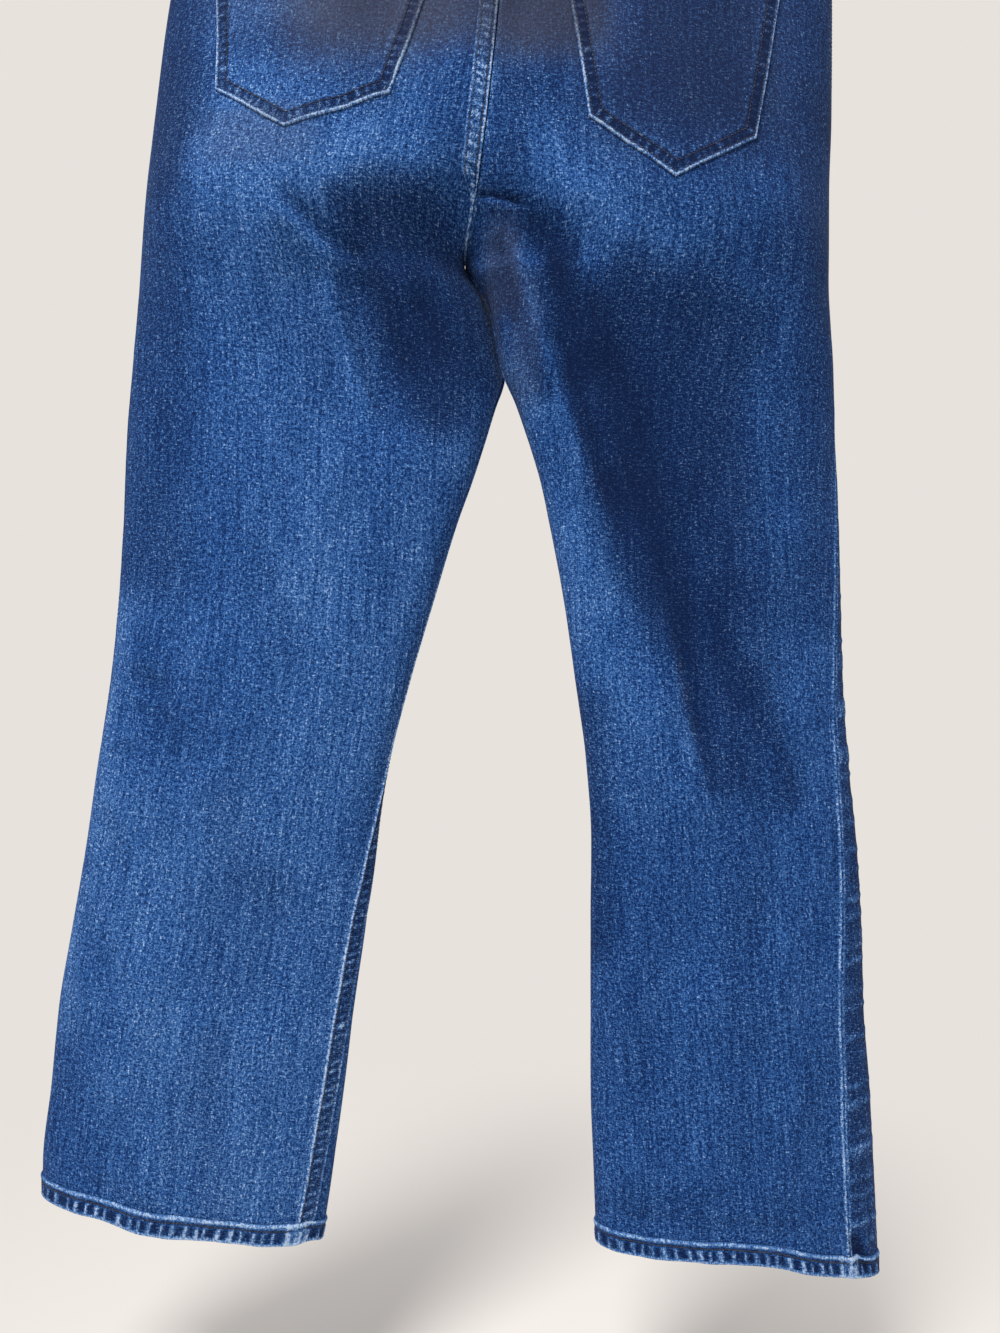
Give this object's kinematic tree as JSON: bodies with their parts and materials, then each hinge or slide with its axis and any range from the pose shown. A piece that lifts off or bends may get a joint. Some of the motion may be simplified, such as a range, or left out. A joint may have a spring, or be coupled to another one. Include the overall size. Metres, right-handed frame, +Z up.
{
  "type": "cropped flare jeans",
  "caption": "Cropped, slightly flared blue jeans, hanging open and hollow from the waist, with patch back pockets, a button fly front and turned-up hems.",
  "frame": {"origin": "the middle of the waistband's top edge, where the jeans are held up", "axes": "+Z up, along the longest extent; +Y out of the jeans' front, along the shortest extent; +X to the wearer's right"},
  "size_m": [0.5855, 0.1229, 1.0505],
  "materials": {
    "denim": "washed blue denim twill with pale flecks",
    "hem_denim": "washed blue denim with roped, paler worn ridges",
    "thread": "matt dark brown and pale blue sewing thread",
    "button_metal": "aged plain brass"
  },
  "bodies": {
    "root": {"back_left": "denim", "back_right": "denim", "front_left": "denim", "front_right": "denim", "yoke_left": "denim", "yoke_right": "denim", "waistband": "denim", "belt_loop_1": "denim", "belt_loop_2": "denim", "belt_loop_3": "denim", "belt_loop_4": "denim", "belt_loop_5": "denim", "back_pocket_left": "denim", "back_pocket_right": "denim", "front_pocket_facing_left": "denim", "front_pocket_facing_right": "denim", "fly": "denim", "button": "button_metal", "hem_left": "hem_denim", "hem_right": "hem_denim"}
  },
  "joints": []
}
